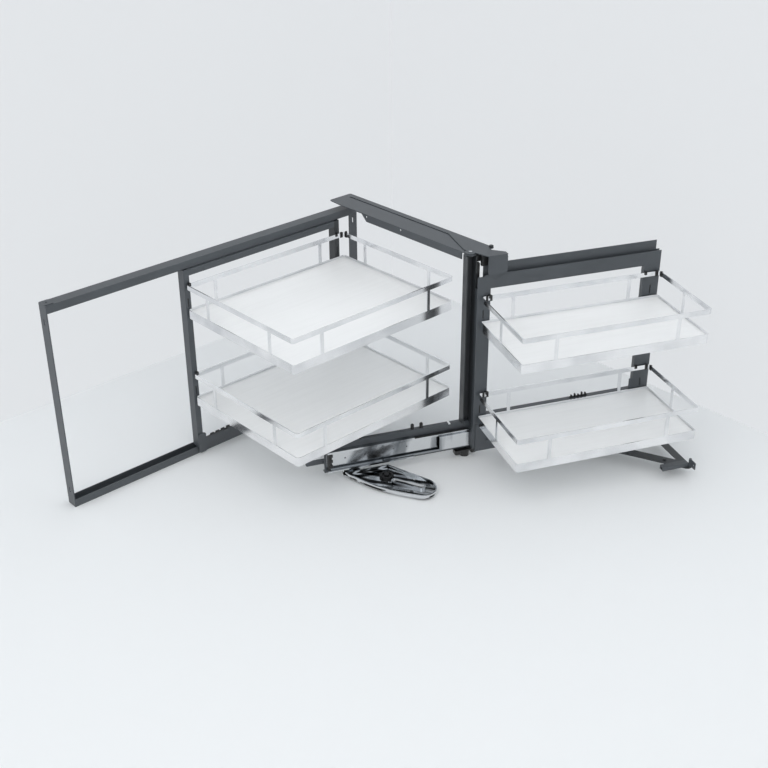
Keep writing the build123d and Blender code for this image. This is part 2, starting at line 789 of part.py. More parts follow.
with BuildPart() as slide_end_plug:
    with BuildSketch(swung_section(slide_plug_inset - slide_outer_end - slide_outer_length)):
        with Locations((channel_front - slide_depth / 2, slide_middle_height)):
            Rectangle(slide_depth - 2 * slide_sheet - 2 * slide_plug_gap, slide_height - 2 * slide_sheet)
    extrude(amount=slide_plug_length)
    # fingers that grip the last ball of each run
    plug_end = slide_plug_inset - slide_outer_end - slide_outer_length + slide_plug_length
    with BuildSketch(swung_face(channel_front - nest - slide_sheet - slide_nest)):
        with Locations((plug_end + slide_plug_finger / 2 - slide_plug_gap, slide_middle_height)):
            with GridLocations(slide_plug_finger, slide_plug_finger_pitch, 1, slide_plug_fingers):
                Rectangle(slide_plug_finger, slide_plug_finger)
    extrude(amount=slide_depth / 3)
slide_end_plug.part.label = "slide_end_plug"
export_step(slide_end_plug.part, "parts/slide_end_plug.step")

with BuildPart() as slide_middle:
    with BuildSketch(swung_section(slide_middle_end - slide_middle_length)):
        with BuildLine():
            Polyline(*lipped_channel(channel_front - nest, slide_depth - 2 * nest, slide_bottom + ball_nest, slide_top - ball_nest), close=True)
        make_face()
    extrude(amount=slide_middle_length)
slide_middle.part.label = "slide_middle"
export_step(slide_middle.part, "parts/slide_middle.step")

brim_back = channel_front - 2 * nest
brim_top = slide_top - ball_nest - slide_sheet - slide_nest
brim_bottom = slide_bottom + ball_nest + slide_sheet + slide_nest
crown_top = brim_top - slide_lip
crown_bottom = brim_bottom + slide_lip
with BuildPart() as slide_inner:
    with BuildSketch(swung_section(slide_inner_end - slide_inner_length)):
        with BuildLine():
            Polyline((brim_back, brim_top), (brim_back - slide_sheet, brim_top), (brim_back - slide_sheet, crown_top),
                     (front_back_face, crown_top), (front_back_face, crown_bottom), (brim_back - slide_sheet, crown_bottom),
                     (brim_back - slide_sheet, brim_bottom), (brim_back, brim_bottom),
                     (brim_back, crown_bottom + slide_sheet), (front_back_face + slide_sheet, crown_bottom + slide_sheet),
                     (front_back_face + slide_sheet, crown_top - slide_sheet), (brim_back, crown_top - slide_sheet), close=True)
        make_face()
    extrude(amount=slide_inner_length)
slide_inner.part.label = "slide_inner"
export_step(slide_inner.part, "parts/slide_inner.step")


# ------------------------------------------------------------------ guide plate
def guide_point(share):
    return (-guide_start + share[0] * guide_length, -guide_setback - share[1] * guide_width)


disc_centre = guide_point(guide_disc_share)
slot_centre = guide_point(guide_slot_share)
mount_centre = (-guide_start + mount_inset + mount_length / 2, (channel_back + channel_front) / 2)
with BuildSketch() as guide_form:
    with BuildLine():
        corner = guide_point(guide_corner_share)
        outer_end = guide_point(guide_outer_end_share)
        tip = guide_point(guide_tip_share)
        inner_end = guide_point(guide_inner_end_share)
        heel = guide_point(guide_heel_share)
        ThreePointArc(corner, guide_point(guide_outer_share), outer_end)
        ThreePointArc(outer_end, guide_point(guide_nose_share), tip)
        ThreePointArc(tip, guide_point(guide_inner_share), inner_end)
        Line(inner_end, heel)
        Line(heel, corner)
    make_face()
with BuildSketch() as guide_well:
    add(guide_form.sketch)
    offset(amount=-guide_rim_width, mode=Mode.REPLACE)

with BuildPart() as guide_plate:
    with BuildSketch(swung_level(guide_bottom)):
        add(guide_form.sketch)
    extrude(amount=guide_rim_height)
    with BuildSketch(swung_level(guide_top)):
        add(guide_well.sketch)
    extrude(amount=guide_rim_height, mode=Mode.SUBTRACT)
    with BuildSketch(swung_level(guide_bottom)):
        with Locations((mount_centre[0], (channel_back - guide_setback) / 2)):
            Rectangle(mount_length, channel_back + guide_setback)
    extrude(amount=guide_sheet)
    with BuildSketch(swung_level(guide_bottom)):
        with Locations(slot_centre):
            SlotOverall(guide_slot_long + 2 * guide_rim_width, guide_slot_wide + 2 * guide_rim_width, rotation=guide_slot_turn)
    extrude(amount=guide_rim_height)
    with BuildSketch(swung_level(guide_bottom)):
        with Locations(slot_centre):
            SlotOverall(guide_slot_long, guide_slot_wide, rotation=guide_slot_turn)
        with Locations(guide_point(guide_hole_share)):
            Circle(guide_hole_radius)
    extrude(amount=guide_rim_height, mode=Mode.SUBTRACT)
    with BuildSketch(swung_level(guide_top)):
        with Locations(disc_centre):
            Circle(disc_post_radius)
    extrude(amount=disc_gap + disc_height + disc_gap)
    with BuildSketch(swung_level(guide_top + disc_gap + disc_height + disc_gap)):
        with Locations(disc_centre):
            Circle(disc_cap_radius)
    extrude(amount=disc_cap_height)
guide_plate.part.label = "guide_plate"
export_step(guide_plate.part, "parts/guide_plate.step")

with BuildPart() as guide_mount:
    with BuildSketch(swung_section(mount_centre[0] - mount_length / 2)):
        with Locations((mount_centre[1], (guide_top + channel_bottom) / 2)):
            Rectangle(channel_flange, channel_bottom - guide_top)
            Rectangle(channel_flange - 2 * mount_sheet, channel_bottom - guide_top - 2 * mount_sheet, mode=Mode.SUBTRACT)
    extrude(amount=mount_length)
guide_mount.part.label = "guide_mount"
export_step(guide_mount.part, "parts/guide_mount.step")

disc_bottom = guide_top + disc_gap
disc_place = Plane(origin=swung.from_local_coords((disc_centre[0], disc_centre[1], 0)), x_dir=swung.x_dir, z_dir=swung.z_dir)
tooth_width = disc_tooth_share * 2 * pi * disc_radius / disc_teeth
with BuildPart() as toothed_disc:
    with BuildSketch(disc_place.offset(disc_bottom)):
        Circle(disc_radius - disc_tooth_depth)
        with PolarLocations(disc_radius - disc_tooth_depth, disc_teeth):
            Rectangle(2 * disc_tooth_depth, tooth_width)
        Circle(disc_post_radius + running_clearance, mode=Mode.SUBTRACT)
    extrude(amount=disc_height)
    with BuildSketch(disc_place.offset(disc_bottom + disc_web_share * disc_height)):
        Circle(disc_radius - 2 * disc_tooth_depth)
        Circle(disc_hub_radius, mode=Mode.SUBTRACT)
    extrude(amount=disc_height, mode=Mode.SUBTRACT)
toothed_disc.part.label = "toothed_disc"
export_step(toothed_disc.part, "parts/toothed_disc.step")

# ------------------------------------------------------------------ front frame
rail_start = front_start + front_left_step
with BuildPart() as front_left_post:
    with BuildSketch(swung_face(front_face + front_sheet)):
        with BuildLine():
            Polyline((front_start, front_bottom), (front_start + front_left_width, front_bottom),
                     (front_start + front_left_width, front_rail_bottom), (rail_start, front_rail_bottom),
                     (rail_start, front_rail_bottom + front_rail_front - front_sheet * 2), (front_start, front_rail_bottom + front_rail_front - front_sheet * 2), close=True)
        make_face()
    extrude(amount=front_sheet)
    with BuildSketch(swung_level(front_bottom)):
        for x in (front_start + front_sheet / 2, front_start + front_left_width - front_sheet / 2):
            with Locations((x, front_face + front_depth / 2 + front_sheet / 2)):
                Rectangle(front_sheet, front_depth - front_sheet)
    extrude(amount=front_rail_bottom - front_bottom)
    with BuildSketch(swung_face(front_face + front_sheet)):
        for base in front_tray_levels:
            with Locations((front_start + front_left_width / 2, base + band_height + post_slot_rise)):
                SlotOverall(post_slot_length, post_slot_width, rotation=90)
    extrude(amount=front_sheet, mode=Mode.SUBTRACT)
front_left_post.part.label = "front_left_post"
export_step(front_left_post.part, "parts/front_left_post.step")

with BuildPart() as front_right_post:
    with BuildSketch(swung_level(bottom_bar_level)):
        with Locations((front_end - front_right_width / 2, front_face + front_depth / 2)):
            Rectangle(front_right_width, front_depth)
        with Locations((front_end - front_right_width / 2, front_face + front_depth / 2)):
            Rectangle(front_right_width - 2 * front_sheet, front_depth - 2 * front_sheet, mode=Mode.SUBTRACT)
    extrude(amount=front_rail_bottom - bottom_bar_level)
    with BuildSketch(swung_face(front_face + front_sheet)):
        for base in front_tray_levels:
            with Locations((front_end - front_right_width / 2, base + band_height + post_slot_rise)):
                SlotOverall(post_slot_length, post_slot_width, rotation=90)
    extrude(amount=front_sheet, mode=Mode.SUBTRACT)
front_right_post.part.label = "front_right_post"
export_step(front_right_post.part, "parts/front_right_post.step")

with BuildPart() as front_top_rail:
    with BuildSketch(swung_section(rail_start)):
        with BuildLine():
            Polyline((front_back_face, front_rail_bottom), (front_back_face, front_rail_bottom + front_rail_back),
                     (front_back_face - front_sheet, front_rail_bottom + front_rail_back),
                     (front_back_face - front_sheet, front_rail_bottom + front_sheet),
                     (front_face + front_sheet, front_rail_bottom + front_sheet),
                     (front_face + front_sheet, front_rail_bottom + front_rail_front),
                     (front_face, front_rail_bottom + front_rail_front), (front_face, front_rail_bottom), close=True)
        make_face()
    extrude(amount=front_end - rail_start)
    with BuildSketch(swung_face(front_back_face)):
        with Locations((front_end, front_rail_bottom + (front_rail_front + front_rail_back) / 2)):
            Rectangle(2 * front_rail_short, front_rail_back - front_rail_front)
    extrude(amount=front_sheet, mode=Mode.SUBTRACT)
front_top_rail.part.label = "front_top_rail"
export_step(front_top_rail.part, "parts/front_top_rail.step")

bar_start = front_start + front_left_width
bar_end = front_end - front_right_width
with BuildPart() as front_bottom_bar:
    with BuildSketch(swung_section(bar_start)):
        with Locations((front_face + front_depth / 2, bottom_bar_level + bottom_bar_height / 2)):
            Rectangle(front_depth, bottom_bar_height)
        with Locations((front_face + front_sheet + front_depth / 2, bottom_bar_level + bottom_bar_height / 2)):
            Rectangle(front_depth, bottom_bar_height - 2 * front_sheet, mode=Mode.SUBTRACT)
    extrude(amount=bar_end - bar_start)
front_bottom_bar.part.label = "front_bottom_bar"
export_step(front_bottom_bar.part, "parts/front_bottom_bar.step")

beam_end = front_end - beam_end_inset
with BuildPart() as front_base_beam:
    with BuildSketch(swung_section(bar_start)):
        with Locations((front_face + front_depth / 2, front_bottom + beam_height / 2)):
            Rectangle(front_depth, beam_height)
            Rectangle(front_depth - 2 * front_sheet, beam_height - 2 * front_sheet, mode=Mode.SUBTRACT)
    extrude(amount=beam_end - bar_start)
front_base_beam.part.label = "front_base_beam"
export_step(front_base_beam.part, "parts/front_base_beam.step")

gusset_start = front_start + gusset_lead
gusset_foot = front_bottom - gusset_drop
with BuildPart() as front_gusset:
    with BuildSketch(swung_face(front_face)) as gusset_outline:
        with BuildLine():
            Polyline((gusset_start, gusset_foot), (gusset_start + gusset_foot_width, gusset_foot),
                     (gusset_start + gusset_foot_width, front_bottom + gusset_drop),
                     (gusset_start + gusset_top_width, front_bottom + gusset_rise), (gusset_start, front_bottom + gusset_rise), close=True)
        make_face()
        with Locations((gusset_start + gusset_top_width, front_bottom + beam_height / 2)):
            Circle(gusset_hole_radius, mode=Mode.SUBTRACT)
    extrude(amount=gusset_sheet)
front_gusset.part.label = "front_gusset"
export_step(front_gusset.part, "parts/front_gusset.step")

with BuildPart() as front_corner_plate:
    with BuildSketch(swung_face(front_face + front_sheet)):
        with Locations((bar_end - corner_plate_width / 2, bottom_bar_level + bottom_bar_height + corner_plate_height / 2)):
            Rectangle(corner_plate_width, corner_plate_height)
    extrude(amount=front_sheet)
front_corner_plate.part.label = "front_corner_plate"
export_step(front_corner_plate.part, "parts/front_corner_plate.step")

# ------------------------------------------------------------------ door link
link_level = front_bottom - link_sheet
arm_shapes = {}
for name, root, width in (("door_arm_long", long_arm_root, long_arm_width), ("door_arm_short", short_arm_root, short_arm_width)):
    run = hypot(link_apex - root, link_reach - link_root)
    turn = degrees(atan2(-(link_reach - link_root), link_apex - root))
    with BuildSketch() as arm_shape:
        with Locations(((root + link_apex) / 2, -(link_root + link_reach) / 2)):
            SlotCenterToCenter(run, width, rotation=turn)
    arm_shapes[name] = arm_shape.sketch

with BuildPart() as door_arm_long:
    with BuildSketch(swung_level(link_level)):
        add(arm_shapes["door_arm_long"])
    extrude(amount=link_sheet)
door_arm_long.part.label = "door_arm_long"
export_step(door_arm_long.part, "parts/door_arm_long.step")

with BuildPart() as door_arm_short:
    with BuildSketch(swung_level(link_level)):
        add(arm_shapes["door_arm_short"])
        add(arm_shapes["door_arm_long"], mode=Mode.SUBTRACT)
    extrude(amount=link_sheet)
door_arm_short.part.label = "door_arm_short"
export_step(door_arm_short.part, "parts/door_arm_short.step")

bracket_start = link_bracket_end - link_bracket_length
hinge_x = link_bracket_end + knuckle_radius
hinge_y = -link_reach - link_bracket_width / 2
with BuildPart() as door_bracket:
    with BuildSketch(swung_section(bracket_start)):
        with Locations((-link_reach, front_bottom + link_bracket_height / 2)):
            Rectangle(link_bracket_width, link_bracket_height)
            Rectangle(link_bracket_width - 2 * link_sheet, link_bracket_height - 2 * link_sheet, mode=Mode.SUBTRACT)
    extrude(amount=link_bracket_length)
    with BuildSketch(swung_level(front_bottom)):
        with Locations((hinge_x, hinge_y)):
            Circle(knuckle_radius - foot_gap)
        with Locations((link_bracket_end + knuckle_radius / 2, hinge_y + knuckle_radius / 2)):
            Rectangle(knuckle_radius, knuckle_radius)
    extrude(amount=link_sheet)
    with BuildSketch(swung_level(front_bottom)):
        with Locations((hinge_x, hinge_y)):
            Circle(hinge_pin_radius)
    extrude(amount=door_plate_height)
door_bracket.part.label = "door_bracket"
export_step(door_bracket.part, "parts/door_bracket.step")

with BuildPart() as door_link_pin:
    with BuildSketch(swung_level(front_bottom)):
        with Locations((link_apex - link_pin_back, -link_reach + link_pin_back)):
            Circle(link_pin_radius)
    extrude(amount=link_pin_height)
door_link_pin.part.label = "door_link_pin"
export_step(door_link_pin.part, "parts/door_link_pin.step")

plate_bottom = front_bottom + link_sheet + foot_gap
plate_rise = door_plate_height - link_sheet - foot_gap
with BuildPart() as door_plate:
    with BuildSketch(swung_level(plate_bottom)):
        with Locations((hinge_x, hinge_y)):
            Circle(knuckle_radius - foot_gap)
        with Locations((hinge_x, hinge_y - door_plate_length / 2)):
            Rectangle(door_plate_sheet, door_plate_length)
        with Locations((hinge_x, hinge_y)):
            Circle(hinge_pin_radius + running_clearance, mode=Mode.SUBTRACT)
    extrude(amount=plate_rise)
    with BuildSketch(swung_section(hinge_x - door_plate_sheet / 2)):
        with Locations((hinge_y - door_plate_length * 2 / 3, plate_bottom + plate_rise / 2)):
            Circle(door_screw_radius)
    extrude(amount=door_plate_sheet, mode=Mode.SUBTRACT)
door_plate.part.label = "door_plate"
export_step(door_plate.part, "parts/door_plate.step")
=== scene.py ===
import bpy, bmesh, json, math
from mathutils import Vector, Matrix


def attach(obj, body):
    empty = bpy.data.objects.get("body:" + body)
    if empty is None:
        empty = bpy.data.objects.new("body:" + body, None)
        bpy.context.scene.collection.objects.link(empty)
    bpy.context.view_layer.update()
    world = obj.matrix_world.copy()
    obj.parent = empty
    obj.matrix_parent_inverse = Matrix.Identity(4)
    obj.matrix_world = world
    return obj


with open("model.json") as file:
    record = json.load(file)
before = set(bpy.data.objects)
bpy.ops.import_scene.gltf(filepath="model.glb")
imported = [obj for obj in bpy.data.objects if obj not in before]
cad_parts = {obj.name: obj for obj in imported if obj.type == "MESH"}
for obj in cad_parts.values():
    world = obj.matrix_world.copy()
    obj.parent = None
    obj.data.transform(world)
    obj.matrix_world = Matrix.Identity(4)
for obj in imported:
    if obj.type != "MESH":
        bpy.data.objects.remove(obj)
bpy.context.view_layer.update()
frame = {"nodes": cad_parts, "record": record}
print("frame loaded:", len(frame["nodes"]), "parts")


def hexToLinear(code):
    # an sRGB hex code as linear RGBA
    channels = [int(code[i:i + 2], 16) / 255 for i in (1, 3, 5)]
    return [c / 12.92 if c <= 0.04045 else ((c + 0.055) / 1.055) ** 2.4 for c in channels] + [1.0]


def addNode(tree, kind, settings=None, links=None):
    # settings are the node's own values or its sockets', links are what feeds its sockets
    node = tree.nodes.new(kind)
    for key, value in (settings or {}).items():
        if isinstance(key, str) and hasattr(node, key):
            setattr(node, key, value)
        else:
            node.inputs[key].default_value = value
    for socket, source in (links or {}).items():
        tree.links.new(source, node.inputs[socket])
    return node


def startMaterial(name):
    material = bpy.data.materials.new(name)
    material.use_nodes = True
    material.node_tree.nodes.clear()
    return material, material.node_tree


def endMaterial(tree, shader):
    addNode(tree, "ShaderNodeOutputMaterial", None, {"Surface": shader.outputs[0]})


def placeOnPart(tree, sizesMm=(1000, 1000, 1000), turn=0.0):
    # object coordinates are metres, so every pattern has a real size, along an axis turned in plan
    where = addNode(tree, "ShaderNodeTexCoord")
    scale = [mm / 1000 for mm in sizesMm]
    place = addNode(tree, "ShaderNodeMapping", {"vector_type": "TEXTURE", "Rotation": (0, 0, turn), "Scale": scale},
                    {"Vector": where.outputs["Object"]})
    return place.outputs[0]


def makePowderCoat(name, look):
    # polyester powder baked on sheet steel: a soft sheen with a fine orange-peel skin, and a faint cloud over it
    material, tree = startMaterial(name)
    where = placeOnPart(tree)
    peel = addNode(tree, "ShaderNodeTexNoise", {"Scale": 1000 / look["peelMm"], "Detail": 2.0}, {"Vector": where})
    cloud = addNode(tree, "ShaderNodeTexNoise", {"Scale": 1000 / look["cloudMm"], "Detail": 3.0}, {"Vector": where})
    tone = addNode(tree, "ShaderNodeMix",
                   {"data_type": "RGBA", 6: hexToLinear(look["dark"]), 7: hexToLinear(look["light"])},
                   {0: cloud.outputs["Fac"]})
    rough = addNode(tree, "ShaderNodeMapRange", {"To Min": look["roughness"][0], "To Max": look["roughness"][1]},
                    {"Value": cloud.outputs["Fac"]})
    bump = addNode(tree, "ShaderNodeBump", {"Strength": look["peelStrength"], "Distance": look["peelDeepMm"] / 1000},
                   {"Height": peel.outputs["Fac"]})
    shader = addNode(tree, "ShaderNodeBsdfPrincipled", {"IOR": look["ior"], "Metallic": 0.0},
                     {"Base Color": tone.outputs[2], "Roughness": rough.outputs[0], "Normal": bump.outputs[0]})
    endMaterial(tree, shader)
    return material


def makePlatedSteel(name, look):
    # nickel, chrome or zinc plate over drawn or rolled steel: a mirror with faint haze and drawing lines, which
    # are about ten times coarser than real ones, so that they show; the broad bands of dark and light are fixed
    # to the part and stand in for what a plated surface mirrors in a room
    material, tree = startMaterial(name)
    haze = addNode(tree, "ShaderNodeTexNoise", {"Scale": 1000 / look["hazeMm"], "Detail": 4.0},
                   {"Vector": placeOnPart(tree)})
    band = addNode(tree, "ShaderNodeTexNoise", {"Scale": 1.0, "Detail": 3.0, "Roughness": 0.45},
                   {"Vector": placeOnPart(tree, look["bandMm"], look["turn"])})
    sharp = addNode(tree, "ShaderNodeMapRange", {"From Min": look["bandFrom"], "From Max": look["bandTo"]},
                    {"Value": band.outputs["Fac"]})
    lines = addNode(tree, "ShaderNodeTexNoise", {"Scale": 1.0, "Detail": 2.0},
                    {"Vector": placeOnPart(tree, look["lineMm"])})
    height = addNode(tree, "ShaderNodeSeparateXYZ", None, {"Vector": placeOnPart(tree)}).outputs["Z"]
    bright = sharp.outputs[0]
    if "dishMm" in look:  # the painted reflection bands lie on the flat bottom of a dished plate, and its rim is painted bright as a reflection of the pale floor
        rim = addNode(tree, "ShaderNodeMapRange",
                      {"From Min": look["dishMm"][0] / 1000, "From Max": look["dishMm"][1] / 1000},
                      {"Value": height})
        bright = addNode(tree, "ShaderNodeMath", {"operation": "MAXIMUM"}, {0: rim.outputs[0], 1: bright}).outputs[0]
    if "lipMm" in look:  # the rolled lower lip of a slide is painted dark between these two heights, a painted reflection of the shaded floor
        below = addNode(tree, "ShaderNodeMath", {"operation": "LESS_THAN", 1: look["lipMm"][0] / 1000},
                        {0: height})
        above = addNode(tree, "ShaderNodeMath", {"operation": "GREATER_THAN", 1: look["lipMm"][1] / 1000},
                        {0: height})
        clear = addNode(tree, "ShaderNodeMath", {"operation": "MAXIMUM"}, {0: above.outputs[0], 1: below.outputs[0]})
        bright = addNode(tree, "ShaderNodeMath", {"operation": "MULTIPLY"},
                         {0: clear.outputs[0], 1: bright}).outputs[0]
    tone = addNode(tree, "ShaderNodeMix",
                   {"data_type": "RGBA", 6: hexToLinear(look["dark"]), 7: hexToLinear(look["light"])},
                   {0: bright})
    rough = addNode(tree, "ShaderNodeMapRange", {"To Min": look["roughness"][0], "To Max": look["roughness"][1]},
                    {"Value": haze.outputs["Fac"]})
    bump = addNode(tree, "ShaderNodeBump", {"Strength": look["lineStrength"], "Distance": look["lineDeepMm"] / 1000},
                   {"Height": lines.outputs["Fac"]})
    shader = addNode(tree, "ShaderNodeBsdfPrincipled", {"Metallic": 1.0},
                     {"Base Color": tone.outputs[2], "Roughness": rough.outputs[0], "Normal": bump.outputs[0]})
    endMaterial(tree, shader)
    return material


def makeWhiteLaminate(name, look):
    # melamine-faced board: off-white with a pale printed ash grain pressed into the face, drawn wider than life
    material, tree = startMaterial(name)
    where = placeOnPart(tree, look["grainMm"], look["turn"])
    wobble = addNode(tree, "ShaderNodeTexNoise", {"Scale": 1.0, "Detail": 3.0, "Roughness": 0.6}, {"Vector": where})
    fine = addNode(tree, "ShaderNodeTexNoise", {"Scale": 3.4, "Detail": 4.0, "Roughness": 0.7}, {"Vector": where})
    sharp = addNode(tree, "ShaderNodeMapRange", {"From Min": look["grainFrom"], "From Max": look["grainTo"]},
                    {"Value": wobble.outputs["Fac"]})
    both = addNode(tree, "ShaderNodeMath", {"operation": "MULTIPLY"}, {0: sharp.outputs[0], 1: fine.outputs["Fac"]})
    tone = addNode(tree, "ShaderNodeMix",
                   {"data_type": "RGBA", 6: hexToLinear(look["light"]), 7: hexToLinear(look["dark"])},
                   {0: both.outputs[0]})
    bump = addNode(tree, "ShaderNodeBump",
                   {"Strength": look["grainStrength"], "Distance": look["grainDeepMm"] / 1000, "invert": True},
                   {"Height": both.outputs[0]})
    shader = addNode(tree, "ShaderNodeBsdfPrincipled", {"IOR": look["ior"], "Roughness": look["roughness"]},
                     {"Base Color": tone.outputs[2], "Normal": bump.outputs[0]})
    endMaterial(tree, shader)
    return material


def makeMouldedPlastic(name, look):
    # injection-moulded nylon: black, with the dull spark-eroded grain of the mould, coarser than the real 0.2 mm
    material, tree = startMaterial(name)
    grain = addNode(tree, "ShaderNodeTexNoise", {"Scale": 1000 / look["grainMm"], "Detail": 3.0},
                    {"Vector": placeOnPart(tree)})
    tone = addNode(tree, "ShaderNodeMix",
                   {"data_type": "RGBA", 6: hexToLinear(look["dark"]), 7: hexToLinear(look["light"])},
                   {0: grain.outputs["Fac"]})
    bump = addNode(tree, "ShaderNodeBump",
                   {"Strength": look["grainStrength"], "Distance": look["grainDeepMm"] / 1000},
                   {"Height": grain.outputs["Fac"]})
    shader = addNode(tree, "ShaderNodeBsdfPrincipled", {"IOR": look["ior"], "Roughness": look["roughness"]},
                     {"Base Color": tone.outputs[2], "Normal": bump.outputs[0]})
    endMaterial(tree, shader)
    return material


frontTurn = math.radians(-24.12)  # the front frame and its slide lie this far round from the rear frame

powderCoat = {"dark": "#3E4246", "light": "#4B5055", "roughness": (0.35, 0.47),
              "ior": 1.5, "peelMm": 1.6, "peelDeepMm": 0.06, "peelStrength": 0.25, "cloudMm": 90.0}
# the anthracite coat darkened as painted shade, for the parts that stand in shade
shadedCoat = {**powderCoat, "dark": "#282B2E", "light": "#33373A", "roughness": (0.37, 0.49), "cloudMm": 70.0}
chromePlate = {"dark": "#D8DADD", "light": "#EFF0F2", "roughness": (0.13, 0.18), "hazeMm": 45.0,
               "lineMm": (84, 84, 1.4), "lineStrength": 0.06, "lineDeepMm": 0.03,
               "bandMm": (90, 90, 90), "turn": 0.0, "bandFrom": 0.30, "bandTo": 0.60}
# darker tone for the rounded edges of chrome: a painted reflection of dark surroundings
chromeEdgeReflection = {**chromePlate, "dark": "#4C4F52", "light": "#6A6E72", "roughness": (0.12, 0.17),
              "bandMm": (60, 60, 60), "bandFrom": 0.40}
# the guide plate's dark and light streaks are painted reflections of the dark slide above and the pale floor, and its
# rim is a painted highlight
guidePlate = {"dark": "#17191B", "light": "#D0D3D6", "roughness": (0.07, 0.13), "hazeMm": 20.0,
              "lineMm": (72, 72, 1.2), "lineStrength": 0.08, "lineDeepMm": 0.03,
              "bandMm": (120, 13, 13), "turn": math.radians(-60.0), "bandFrom": 0.47, "bandTo": 0.55,
              "dishMm": (10.0, 12.0)}
# the slide's long light and dark bands are painted reflections, and its lower lip is painted dark as a reflection of
# the shaded floor
zincPlate = {"dark": "#8C9094", "light": "#CACDD0", "roughness": (0.13, 0.21), "hazeMm": 25.0,
             "lineMm": (72, 72, 1.2), "lineStrength": 0.15, "lineDeepMm": 0.03,
             "bandMm": (52, 260, 220), "turn": frontTurn, "bandFrom": 0.34, "bandTo": 0.46,
             "lipMm": (28.4, 35.5)}
rearLaminate = {"light": "#F4F5F5", "dark": "#EDEEEE", "roughness": 0.45, "ior": 1.5, "turn": 0.0,
                "grainMm": (154, 7, 7), "grainFrom": 0.42, "grainTo": 0.72, "grainDeepMm": 0.08,
                "grainStrength": 0.2}
frontLaminate = {**rearLaminate, "turn": frontTurn}
blackNylon = {"dark": "#0D0E0F", "light": "#18191B", "roughness": 0.42, "ior": 1.53,
              "grainMm": 1.0, "grainDeepMm": 0.08, "grainStrength": 0.3}

anthracitePowderCoat = makePowderCoat("anthracitePowderCoatedSteel", powderCoat)
# a copy of the coat darkened as painted shade
shadedPowderCoat = makePowderCoat("powderCoatPaintedShade", shadedCoat)
brightChrome = makePlatedSteel("chromePlatedSteel", chromePlate)
# chrome darkened on its edges as a painted reflection
chromeEdgePaintedReflection = makePlatedSteel("chromeEdgePaintedDark", chromeEdgeReflection)
guideChrome = makePlatedSteel("polishedPlatedSteel", guidePlate)
slideZinc = makePlatedSteel("zincPlatedSteel", zincPlate)
rearPanelLaminate = makeWhiteLaminate("whiteMelamineRear", rearLaminate)
frontPanelLaminate = makeWhiteLaminate("whiteMelamineFront", frontLaminate)
mouldedNylon = makeMouldedPlastic("blackMouldedNylon", blackNylon)
print("materials made")


def softenEdges(thing, wideMm):
    # real sheet and moulded edges are slightly rounded, and catch a thin line of light
    bevel = thing.modifiers.new("edgeRound", "BEVEL")
    bevel.width = wideMm / 1000
    bevel.segments = 2
    bevel.limit_method = "ANGLE"
    bevel.angle_limit = math.radians(40)
    bevel.use_clamp_overlap = True
    bevel.harden_normals = False
    if len(thing.data.materials) > 1:
        bevel.material = 1  # the rounded edges of chrome take the darker tone, a painted reflection of dark surroundings


# finish and edge rounding in mm for each of the part's material slots
slots = {"frame_steel": (anthracitePowderCoat, 0.35), "tray_chrome": (brightChrome, 0.5),
         "slide_steel": (slideZinc, 0.25), "guide_chrome": (guideChrome, 0.6),
         "black_plastic": (mouldedNylon, 0.3), "tray_panel": (rearPanelLaminate, 0.4)}
nodesInPaintedShade = ("mast", "door_arm_long", "door_arm_short", "carriage_right_post")  # the same coat darkened as painted shade on these parts, matched to their shade
for part in frame["record"]["subparts"]:
    node = part["node"]
    finish, edgeMm = slots[part["material_slot"]]
    if node.startswith("front_") and node.endswith("_panel"):
        finish = frontPanelLaminate
    if node in nodesInPaintedShade:
        finish = shadedPowderCoat
    thing = frame["nodes"][node]
    thing.data.materials.clear()
    thing.data.materials.append(finish)
    # chrome parts get a second slot for the painted dark reflection on their rounded edges
    if finish == brightChrome:
        thing.data.materials.append(chromeEdgePaintedReflection)
    softenEdges(thing, edgeMm)
print("CAD parts dressed")


# the small pieces below ride on the bodies; their sizes are in metres
def jointNamed(name):
    return next(joint for joint in frame["record"]["behaviour"]["joints"] if joint["name"] == name)


along = Vector(jointNamed("front_push")["axis"]).normalized()
upward = Vector((0, 0, 1))
slidePlace = Matrix((along, upward.cross(along), upward)).transposed().to_4x4()
slidePlace.translation = Vector(jointNamed("front_swivel")["pos_m"])
rearPlace = Matrix.Identity(4)
halves = {"rear": (rearPlace, "rear_carriage"), "front": (slidePlace, "front_frame")}


def reachOf(node, place):
    # lowest and highest corner of a CAD node, along the axes of place
    back = place.inverted()
    corners = [back @ v.co for v in frame["nodes"][node].data.vertices]
    return [Vector([pick(c[k] for c in corners) for k in range(3)]) for pick in (min, max)]


def addBlock(form, middle, size, rounding):
    # a block with rounded edges
    made = bmesh.ops.create_cube(form, size=1.0, matrix=Matrix.LocRotScale(Vector(middle), None, Vector(size)))
    edges = list({e for v in made["verts"] for e in v.link_edges})
    bmesh.ops.bevel(form, geom=edges, offset=rounding, segments=3, profile=0.5, affect="EDGES")


def addKnob(form, middle, radius, height, turn=None):
    # a short turned knob: a round drum with rounded rims
    spin = Matrix.Translation(Vector(middle)) @ (turn or Matrix.Identity(4))
    made = bmesh.ops.create_cone(form, cap_ends=True, segments=28, radius1=radius, radius2=radius, depth=height,
                                 matrix=spin)
    edges = {e for v in made["verts"] for e in v.link_edges}
    rims = [e for e in edges if any(len(f.verts) > 4 for f in e.link_faces)]
    bmesh.ops.bevel(form, geom=rims, offset=min(radius, height) * 0.3, segments=3, profile=0.5, affect="EDGES")


def addRack(form, start, look):
    # a strip along x, standing on start, with a row of teeth that begin halfway up in it
    start = Vector(start)
    addBlock(form, start + Vector((look["long"] / 2, 0, look["foot"] / 2)),
             (look["long"], look["deep"], look["foot"]), look["rounding"])
    for k, tooth in enumerate(look["teeth"]):
        step = (k + 0.5) * look["long"] / len(look["teeth"])
        addBlock(form, start + Vector((step, 0, look["foot"] * 0.5 + tooth / 2)),
                 (look["wide"], look["deep"], tooth), look["rounding"])


